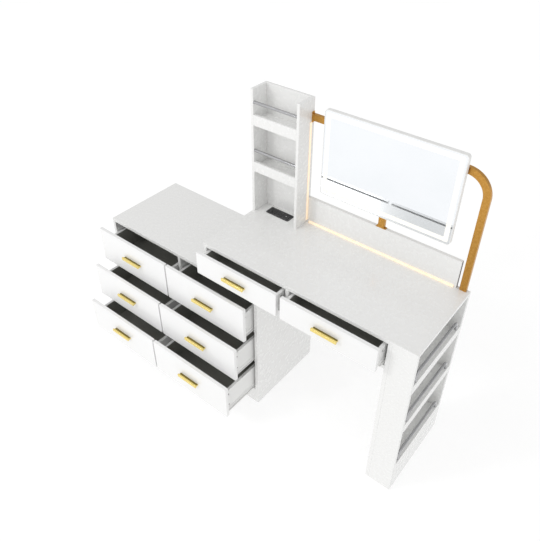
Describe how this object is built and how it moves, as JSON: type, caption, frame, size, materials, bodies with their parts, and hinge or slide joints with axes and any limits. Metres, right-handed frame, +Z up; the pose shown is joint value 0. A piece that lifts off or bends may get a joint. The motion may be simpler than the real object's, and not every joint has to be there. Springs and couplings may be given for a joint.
{
  "type": "salon styling station",
  "caption": "White styling and dressing station: low drawer chest, raised desk with drawers, open shelf leg, shelf tower, lit mirror on a bent gold bar, power block, light lines",
  "frame": {"origin": "on the floor under the middle of the station's box as posed, drawers part open", "axes": "+X to the open shelf leg (right), +Y to the wall side (back), +Z up"},
  "size_m": [1.5, 0.6, 1.29],
  "materials": {
    "white_board": "white laminated board, satin",
    "white_front": "white laminated drawer fronts, satin",
    "drawer_board": "light grey-white laminated board",
    "gold_pull": "bright brushed gold",
    "gold_frame": "antique gold coated steel tube",
    "rod_chrome": "polished rod",
    "rail_white": "white powder-coated steel",
    "tray_metal": "white coated tray",
    "mirror": "silvered glass",
    "frosted_light": "frosted diffuser band, lit",
    "warm_light": "light strip behind a soft diffuser",
    "black_plastic": "fine texture",
    "black_module": "smooth",
    "glide_plastic": "nylon"
  },
  "bodies": {
    "carcass": {"chest_top": "white_board", "chest_uprights": "white_board", "chest_back": "white_board", "chest_base": "white_board", "plinths": "white_board", "desk_top": "white_board", "desk_uprights": "white_board", "desk_drawer_floor": "white_board", "desk_back_rail": "white_board", "leg_end_boards": "white_board", "tower_sides": "white_board", "tower_back": "white_board", "shelf_boards": "white_board", "shelf_lips": "white_board", "guard_rods": "rod_chrome", "riser_board": "white_board", "led_lines": "warm_light", "bent_bar": "gold_frame", "bar_plates": "gold_frame", "centre_post": "gold_frame", "mirror_tray": "tray_metal", "mirror_glass": "mirror", "mirror_light_band": "frosted_light", "mirror_hangers": "tray_metal", "power_block": "black_plastic", "power_modules": "black_module", "fixed_runners": "rail_white", "glides": "glide_plastic"},
    "drawer_a1": {"drawer_a1_front": "white_front", "drawer_a1_box": "drawer_board", "drawer_a1_pull": "gold_pull", "drawer_a1_runners": "rail_white"},
    "drawer_a2": {"drawer_a2_front": "white_front", "drawer_a2_box": "drawer_board", "drawer_a2_pull": "gold_pull", "drawer_a2_runners": "rail_white"},
    "drawer_a3": {"drawer_a3_front": "white_front", "drawer_a3_box": "drawer_board", "drawer_a3_pull": "gold_pull", "drawer_a3_runners": "rail_white"},
    "drawer_b1": {"drawer_b1_front": "white_front", "drawer_b1_box": "drawer_board", "drawer_b1_pull": "gold_pull", "drawer_b1_runners": "rail_white"},
    "drawer_b2": {"drawer_b2_front": "white_front", "drawer_b2_box": "drawer_board", "drawer_b2_pull": "gold_pull", "drawer_b2_runners": "rail_white"},
    "drawer_b3": {"drawer_b3_front": "white_front", "drawer_b3_box": "drawer_board", "drawer_b3_pull": "gold_pull", "drawer_b3_runners": "rail_white"},
    "drawer_d1": {"drawer_d1_front": "white_front", "drawer_d1_box": "drawer_board", "drawer_d1_pull": "gold_pull", "drawer_d1_runners": "rail_white"},
    "drawer_d2": {"drawer_d2_front": "white_front", "drawer_d2_box": "drawer_board", "drawer_d2_pull": "gold_pull", "drawer_d2_runners": "rail_white"}
  },
  "joints": [
    {"name": "drawer_a1_slide", "type": "slide", "parent": "carcass", "child": "drawer_a1", "axis": [0, -1, 0], "range_m": [-0.061, 0.184]},
    {"name": "drawer_a2_slide", "type": "slide", "parent": "carcass", "child": "drawer_a2", "axis": [0, -1, 0], "range_m": [-0.119, 0.126]},
    {"name": "drawer_a3_slide", "type": "slide", "parent": "carcass", "child": "drawer_a3", "axis": [0, -1, 0], "range_m": [-0.179, 0.066]},
    {"name": "drawer_b1_slide", "type": "slide", "parent": "carcass", "child": "drawer_b1", "axis": [0, -1, 0], "range_m": [-0.061, 0.184]},
    {"name": "drawer_b2_slide", "type": "slide", "parent": "carcass", "child": "drawer_b2", "axis": [0, -1, 0], "range_m": [-0.119, 0.126]},
    {"name": "drawer_b3_slide", "type": "slide", "parent": "carcass", "child": "drawer_b3", "axis": [0, -1, 0], "range_m": [-0.179, 0.066]},
    {"name": "drawer_d1_slide", "type": "slide", "parent": "carcass", "child": "drawer_d1", "axis": [0, -1, 0], "range_m": [-0.032, 0.183]},
    {"name": "drawer_d2_slide", "type": "slide", "parent": "carcass", "child": "drawer_d2", "axis": [0, -1, 0], "range_m": [-0.032, 0.183]}
  ]
}
